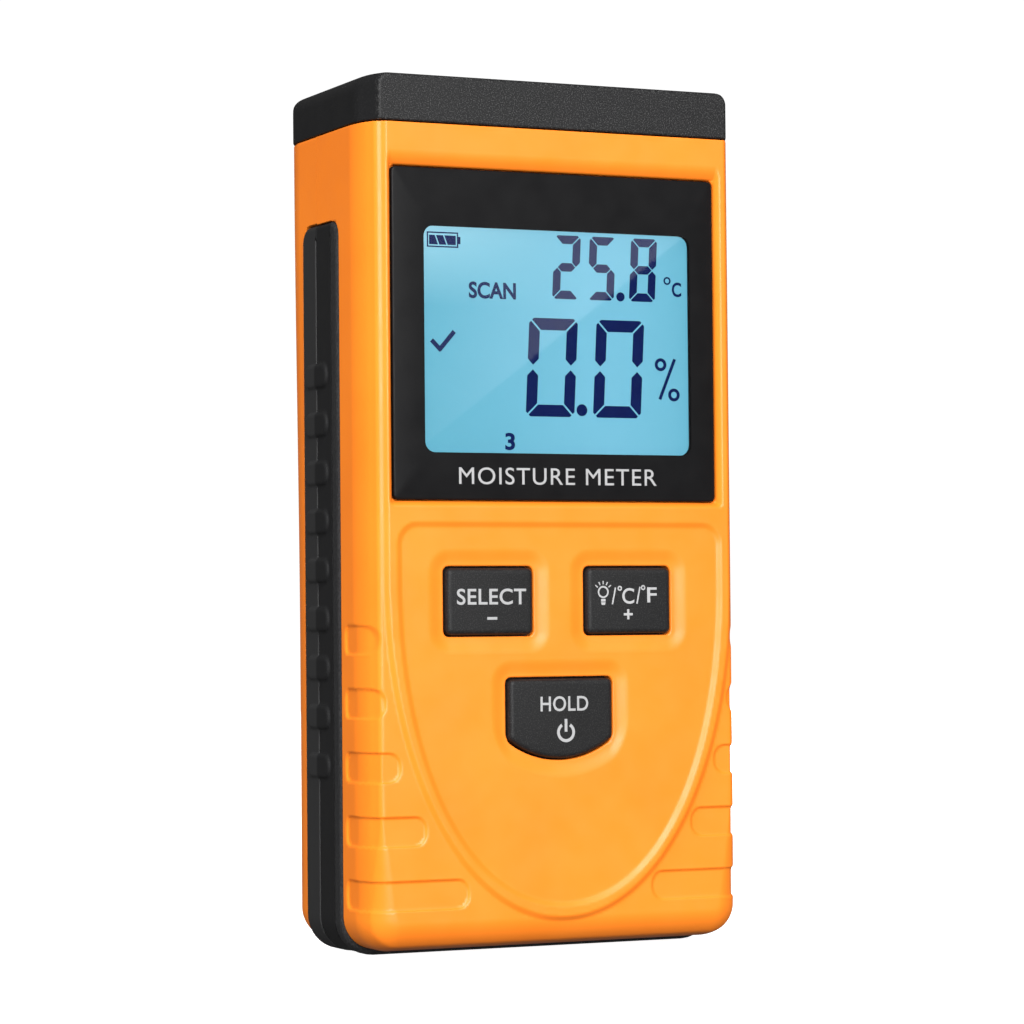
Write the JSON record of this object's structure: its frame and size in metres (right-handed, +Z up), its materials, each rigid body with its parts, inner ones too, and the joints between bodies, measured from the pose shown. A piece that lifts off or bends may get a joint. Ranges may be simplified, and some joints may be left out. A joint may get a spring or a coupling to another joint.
{
  "type": "moisture meter",
  "caption": "Hand-held inductive moisture meter for wood: shell case with a rubber grip band, backlit display, push keys, rear sensing pad and hinged battery door.",
  "frame": {"origin": "midway between the sides and between front and rear, at the height the meter rests on", "axes": "+Z up along the meter's length, -Y out of the display, +Y out of the sensing pad, +X to the right as the display is read"},
  "size_m": [0.0702, 0.036, 0.145],
  "materials": {
    "orange_plastic": "moulded ABS, fine satin surface",
    "black_plastic": "moulded ABS with a spark-eroded grain",
    "grip_rubber": "soft moulded rubber, satin",
    "clear_lens": "polished clear acrylic",
    "printed_mask": null,
    "display_glass": "liquid crystal display lit from behind",
    "white_plastic": "white moulded plastic",
    "conductive_rubber": "layered conductive rubber",
    "board_laminate": "green solder mask on glass-epoxy laminate",
    "component_epoxy": "black moulding compound",
    "steel": "zinc-plated steel",
    "brass": "brass sheet and copper winding",
    "battery_wrap": "plain dark printed metal jacket",
    "foam": "closed-cell foam",
    "red_vinyl": "red wire insulation",
    "black_vinyl": "black wire insulation"
  },
  "bodies": {
    "case": {"front_shell": "orange_plastic", "rear_shell": "orange_plastic", "top_cap": "black_plastic", "grip_band": "grip_rubber", "display_lens": "clear_lens", "lens_mask": "printed_mask", "lcd_frame": "white_plastic", "lcd_front_glass": "display_glass", "lcd_rear_glass": "display_glass", "backlight_guide": "white_plastic", "zebra_strip": "conductive_rubber", "backlight_led_left": "white_plastic", "backlight_led_right": "white_plastic", "select_switch_body": "component_epoxy", "unit_switch_body": "component_epoxy", "hold_switch_body": "component_epoxy", "main_board": "board_laminate", "microcontroller": "component_epoxy", "sensor_amplifier": "component_epoxy", "voltage_regulator": "component_epoxy", "crystal": "steel", "filter_capacitor": "steel", "oscillator_coil": "brass", "calibration_trimmer": "white_plastic", "temperature_sensor": "component_epoxy", "sensor_pad": "black_plastic", "sensor_electrode": "brass", "guard_electrode": "brass", "sensor_lead": "red_vinyl", "guard_lead": "black_vinyl", "battery_case": "battery_wrap", "battery_stud_positive": "steel", "battery_stud_negative": "steel", "battery_snap": "black_plastic", "battery_lead_red": "red_vinyl", "battery_lead_black": "black_vinyl", "case_screw_1": "steel", "case_screw_2": "steel", "case_screw_3": "steel", "case_screw_4": "steel", "board_screw_1": "steel", "board_screw_2": "steel", "board_screw_3": "steel", "board_screw_4": "steel", "cap_screw_1": "steel", "cap_screw_2": "steel"},
    "select_button": {"select_key": "black_plastic", "select_switch_plunger": "component_epoxy"},
    "unit_button": {"unit_key": "black_plastic", "unit_switch_plunger": "component_epoxy"},
    "hold_button": {"hold_key": "black_plastic", "hold_switch_plunger": "component_epoxy"},
    "door": {"battery_door": "orange_plastic", "battery_foam": "foam"}
  },
  "joints": [
    {"name": "select_press", "type": "slide", "parent": "case", "child": "select_button", "axis": [0, 1, 0], "range_m": [0, 0.0005], "stiffness_N_per_m": 2000},
    {"name": "unit_press", "type": "slide", "parent": "case", "child": "unit_button", "axis": [0, 1, 0], "range_m": [0, 0.0005], "stiffness_N_per_m": 2000},
    {"name": "hold_press", "type": "slide", "parent": "case", "child": "hold_button", "axis": [0, 1, 0], "range_m": [0, 0.0005], "stiffness_N_per_m": 2000},
    {"name": "door_hinge", "type": "hinge", "parent": "case", "child": "door", "pos_m": [0, 0.0172, 0.006], "axis": [-1, 0, 0], "range_deg": [0, 75]}
  ]
}
